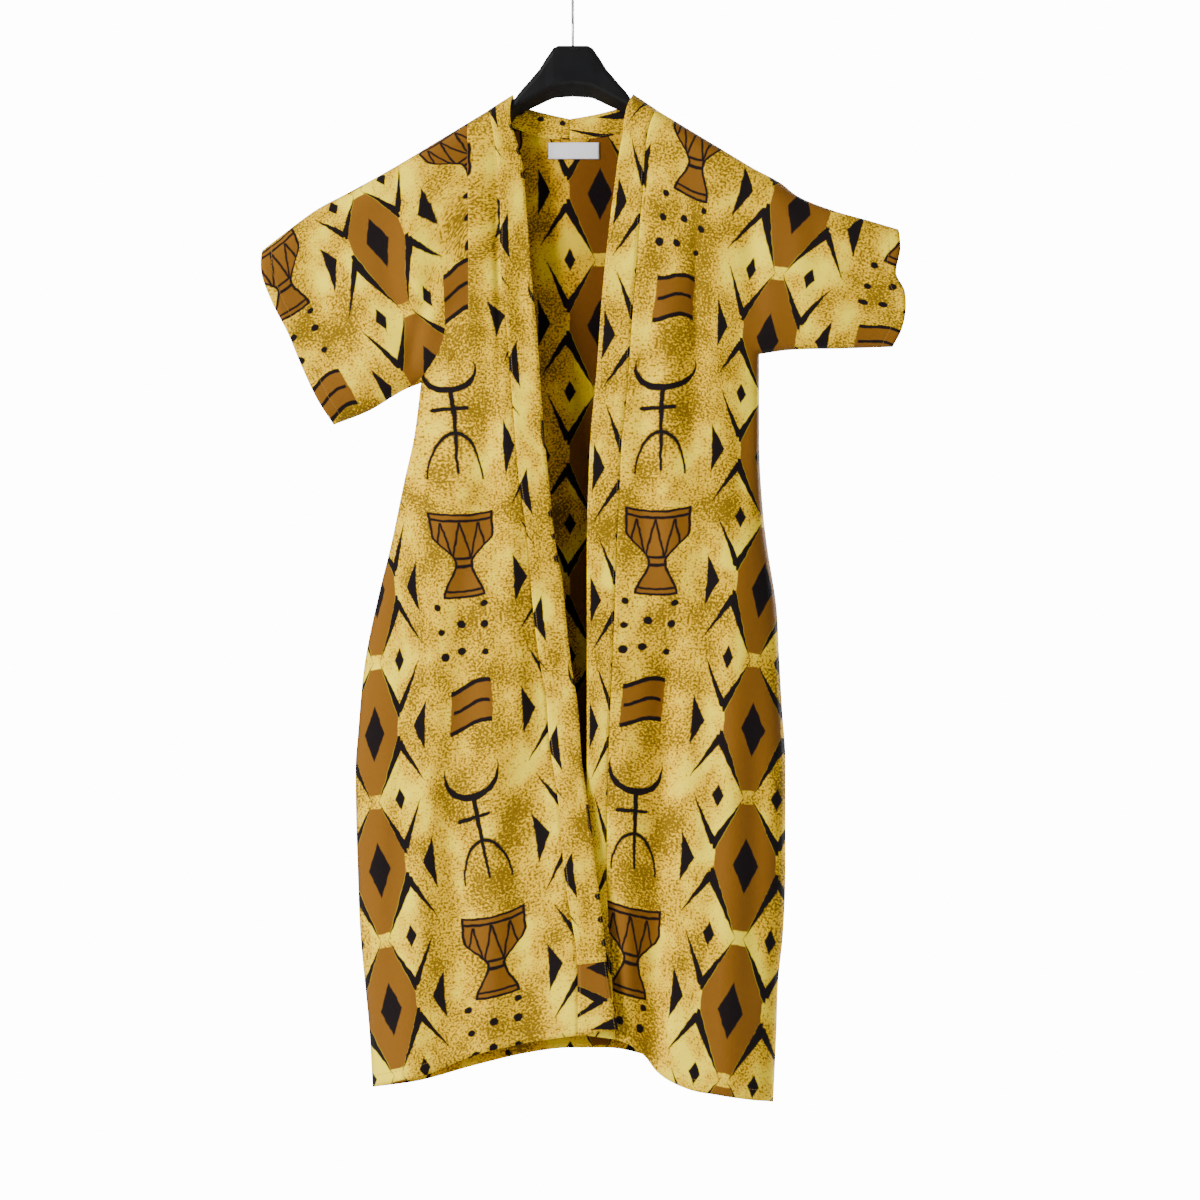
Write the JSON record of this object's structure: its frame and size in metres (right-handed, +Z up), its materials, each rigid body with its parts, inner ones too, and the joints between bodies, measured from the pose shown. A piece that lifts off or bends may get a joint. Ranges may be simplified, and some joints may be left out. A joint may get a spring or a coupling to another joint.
{
  "type": "open-front wax-print robe on a clothes hanger",
  "caption": "Long open-front robe in wax-print cotton with cut-on short sleeves and a front band, hung on a black moulded hanger with a wire hook.",
  "frame": {"origin": "the hang point: the inner top of the hanger's wire hook, where it rests on a rail", "axes": "+Z up, +X to the right as seen from the front, -Y out of the front of the robe"},
  "size_m": [0.787, 0.0872, 1.3654],
  "materials": {
    "wax_print": "printed plain-weave cotton with a faint sheen",
    "band_print": "printed plain-weave cotton, doubled",
    "label_cloth": "white woven tape, bare",
    "hanger_black": "black, half matt",
    "hook_steel": "grey wire"
  },
  "bodies": {
    "root": {"back_panel": "wax_print", "front_panel_left": "wax_print", "front_panel_right": "wax_print", "band_left": "band_print", "band_right": "band_print", "band_end_left": "band_print", "neck_label": "label_cloth", "hanger": "hanger_black", "hook": "hook_steel"}
  },
  "joints": []
}
